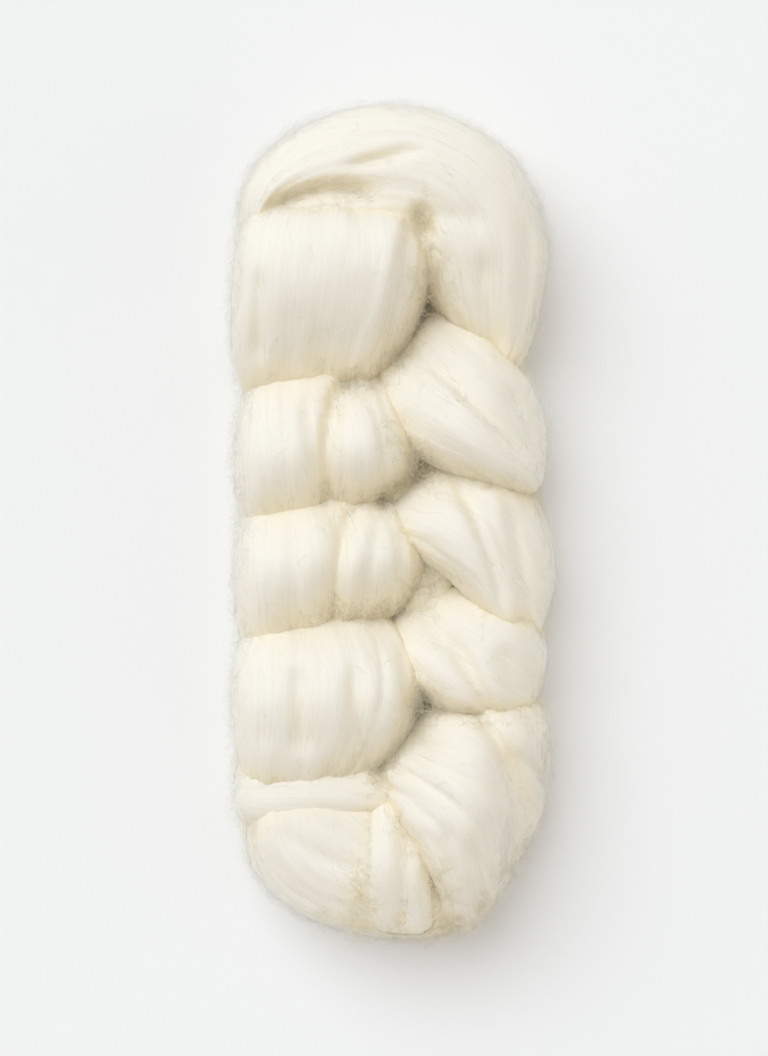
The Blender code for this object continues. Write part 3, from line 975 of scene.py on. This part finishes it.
FRIZZ_RISE = (0.3, 2.2)
FRIZZ_CURL = 1.2
FRIZZ_THICKNESS = 0.09
FRIZZ_PAINTED_SHADE = (0, 0.9)


def resting_place(tree, plan):
    """The highest point of the wool over each place in plan, or the floor's, in metres."""
    above = 2 * CAD_HIGH[2]
    found = []
    for x, y in plan:
        place, _, _, _ = tree.ray_cast(Vector((x, y, above)), Vector((0, 0, -1)))
        found.append((x, y, place.z if place else 0.0))
    return np.array(found)


def frizz_paths(frizz, tree, rng):
    """Hairs that run over a crease from one side to the other, curling a little."""
    count = frizz.count
    start = np.array([frizz.from_x, frizz.from_y], float)
    course = np.array([frizz.to_x, frizz.to_y]) - start
    share = rng.uniform(0, 1, (count, 1))
    middle = start + course * share + rng.normal(0, frizz.spread, (count, 2))
    heading = rng.uniform(0, np.pi, count)
    direction = np.stack([np.cos(heading), np.sin(heading)], -1)
    half = rng.uniform(*frizz.length, (count, 1)) / 2
    ends = [resting_place(tree, (middle + side * half * direction) * MM) for side in (-1, 1)]
    highest = np.maximum(ends[0][:, 2], ends[1][:, 2])
    for end in ends:
        end[:, 2] = np.maximum(end[:, 2], highest - FRIZZ_DROP * MM)
    t = np.linspace(0, 1, FRIZZ_POINTS)[None, :, None]
    paths = ends[0][:, None] * (1 - t) + ends[1][:, None] * t
    curl = rng.normal(0, FRIZZ_CURL * MM, (2, count, 1, 1))
    aside = np.concatenate([-direction[:, ::-1] * [1, -1], np.zeros((count, 1))], axis=1)[:, None]
    paths = paths + aside * (curl[0] * np.sin(np.pi * t) + curl[1] * np.sin(2 * np.pi * t))
    rise = rng.uniform(*FRIZZ_RISE, (count, 1, 1)) * MM
    paths[..., 2:] += rise * np.sin(np.pi * t)
    surface = resting_place(tree, paths[..., 0:2].reshape(-1, 2)).reshape(paths.shape)
    paths[..., 2] = np.maximum(paths[..., 2], surface[..., 2] - FRIZZ_SUNK * MM)
    return paths[highest > FRIZZ_LOWEST * MM]


def add_bundles(name, bundles, material, rng):
    """Bundles of spindles, each with its fibres' painted shade, as one piece."""
    all_vertices, all_quads, all_fans, shades, painted_shades = [], [], [], [], []
    start = 0
    for (vertices, quads, fans), depth in bundles:
        each = len(vertices) // len(depth)
        all_vertices.append(vertices)
        all_quads.append(quads + start)
        all_fans.append(fans + start)
        shades.append(np.repeat(rng.uniform(0, 1, len(depth)), each))
        painted_shades.append(np.repeat(depth, each))
        start += len(vertices)
    mesh = new_mesh(name, *(np.concatenate(part) for part in (all_vertices, all_quads, all_fans)))
    set_values(mesh, "shade", np.concatenate(shades))
    set_values(mesh, "depth", np.concatenate(painted_shades))
    return add_piece(name, mesh, material)


def add_fibres(skins, tree, fuzz, crease_fibre, rng):
    """Loose fibres for each turn that shows, each layer shared out by area.

    A turn gets two pieces of them: those that shade the wool, and those that are too fine to.
    """
    worn = [skin for skin in skins if skin.turn.name != "core"]
    shown = [UNDER_SHARE if skin.turn.name.startswith("back") else 1 for skin in worn]
    areas = np.array([part * skin.cells.sum() for part, skin in zip(shown, worn)])
    for skin, area in zip(worn, areas / areas.sum()):
        fine, coarse = [], []
        for layer in FIBRE_LAYERS:
            wanted = max(round(layer.count * area), 1)
            paths, normals, depth = fibres_of(skin, layer, wanted, tree, rng)
            thickness = layer.thickness * MM * rng.uniform(*THICKNESS_SPREAD, len(paths))
            bundles = coarse if layer.name in SHADING_LAYERS else fine
            bundles.append((spindles(paths, normals, thickness), depth))
        add_bundles(f"fuzz_{skin.turn.name}", fine, fuzz, rng).visible_shadow = False
        add_bundles(f"fibres_{skin.turn.name}", coarse, crease_fibre, rng)


def add_frizz(tree, material, rng):
    """The curly hairs over the pits and creases, as one piece."""
    bundles = []
    for frizz in FRIZZ:
        paths = frizz_paths(frizz, tree, rng)
        normals = np.zeros_like(paths)
        normals[..., 2] = 1
        thickness = FRIZZ_THICKNESS * MM * rng.uniform(*THICKNESS_SPREAD, len(paths))
        bundles.append((spindles(paths, normals, thickness), rng.uniform(*FRIZZ_PAINTED_SHADE, len(paths))))
    add_bundles("fibres_creases", bundles, material, rng)


# ---------------------------------------------------------------------------------------------------------
# The studio
#
# The frame's longer side shows VIEW_LENGTH at OUTLINE_LEVEL, where the plait is widest, seen from
# CAMERA_HEIGHT above it, and VIEW_OFFSET is its middle. The floor lies just below the plait's flat spots.
VIEW_LENGTH = 0.375
VIEW_OFFSET = (-0.0037, -0.0014)
CAMERA_HEIGHT = 1.2
OUTLINE_LEVEL = 0.032
SENSOR = 0.036
FLOOR_SIZE = 12.0
FLOOR_LEVEL = -0.0002
FLOOR_COLOUR = (0.94, 0.94, 0.94, 1)

# A soft lamp: from where it shines towards the plait, how wide it looks in radians, how strong it is, and
# its colour. The key shines from the upper left, and the fill and the edge lamp are low and weak, for the
# sides.
Lamp = namedtuple("Lamp", "name place angle strength tint")

KEY = Lamp("key", (-0.42, 0.57, 1.0), 0.9, 1.44, (0.925, 1.0, 1.08))
FILL = Lamp("fill", (0.95, -0.42, 0.25), 1.4, 0.52, (1.0, 0.98, 0.94))
EDGE = Lamp("edge", (-1.0, 0.75, 0.25), 1.3, 0.40, (1.0, 1.0, 1.0))
SKY = 0.50
SKY_TINT = (1.02, 0.98, 0.93, 1)


def add_camera():
    """Straight above the plait, which lies a little right of the frame's middle."""
    data = bpy.data.cameras.new("camera")
    data.sensor_fit = "AUTO"
    data.sensor_width = SENSOR / MM
    data.lens = SENSOR * CAMERA_HEIGHT / VIEW_LENGTH / MM
    camera = bpy.data.objects.new("camera", data)
    camera.location = (*VIEW_OFFSET, CAMERA_HEIGHT + OUTLINE_LEVEL)
    bpy.context.scene.collection.objects.link(camera)
    bpy.context.scene.camera = camera


def add_floor():
    """A plain pale floor that reaches far past the frame."""
    half = FLOOR_SIZE / 2
    mesh = bpy.data.meshes.new("floor")
    corners = [(x * half, y * half, FLOOR_LEVEL) for x, y in ((-1, -1), (1, -1), (1, 1), (-1, 1))]
    mesh.from_pydata(corners, [], [(0, 1, 2, 3)])
    material = bpy.data.materials.new("floor")
    material.use_nodes = True
    finish = material.node_tree.nodes["Principled BSDF"]
    finish.inputs["Base Color"].default_value = FLOOR_COLOUR
    finish.inputs["Roughness"].default_value = 0.9
    finish.inputs["Specular IOR Level"].default_value = 0.1
    mesh.materials.append(material)
    floor = bpy.data.objects.new("floor", mesh)
    bpy.context.scene.collection.objects.link(floor)
    floor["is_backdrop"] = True


def add_lamp(lamp):
    """A lamp turned towards the plait."""
    data = bpy.data.lights.new(lamp.name, "SUN")
    data.angle = lamp.angle
    data.energy = lamp.strength
    data.color = lamp.tint
    holder = bpy.data.objects.new(lamp.name, data)
    holder.location = lamp.place
    holder.rotation_mode = "QUATERNION"
    holder.rotation_quaternion = (-Vector(lamp.place)).to_track_quat("-Z", "Y")
    bpy.context.scene.collection.objects.link(holder)


def add_light():
    """The lamps, and an even pale surround."""
    for lamp in (KEY, FILL, EDGE):
        add_lamp(lamp)
    world = bpy.data.worlds.new("surround")
    world.use_nodes = True
    sky = world.node_tree.nodes["Background"]
    sky.inputs["Color"].default_value = SKY_TINT
    sky.inputs["Strength"].default_value = SKY
    bpy.context.scene.world = world


# ---------------------------------------------------------------------------------------------------------
# The scene
add_camera()
add_floor()
add_light()
bpy.context.scene.view_settings.view_transform = "Standard"

rng = np.random.default_rng(SEED)
skins = [Skin(turn, REST_STEP * place, rng) for place, turn in enumerate([*TURNS, *back_bumps()])]
fit_to_frame(skins)
tree = tree_of(skins)
wool_mass = wool("wool")
fuzz = fibre_finish("wool_fuzz", 1.0, FUZZ_DARK, FUZZ_PALE)
# The hairs in the creases get darker, warmer colours than the fuzz: painted shade.
crease_fibre = fibre_finish("wool_fibre", 0.0, CREASE_DARK, CREASE_PALE)
for skin in skins:
    # Each skin's depth is its painted shade, warmer and darker in the creases and where turned from the key
    # lamp.
    skin.depth = painted_shade_among_turns(skin, tree)
    dress_turn(skin, wool_mass)
add_fibres(skins, tree, fuzz, crease_fibre, rng)
add_frizz(tree, crease_fibre, rng)
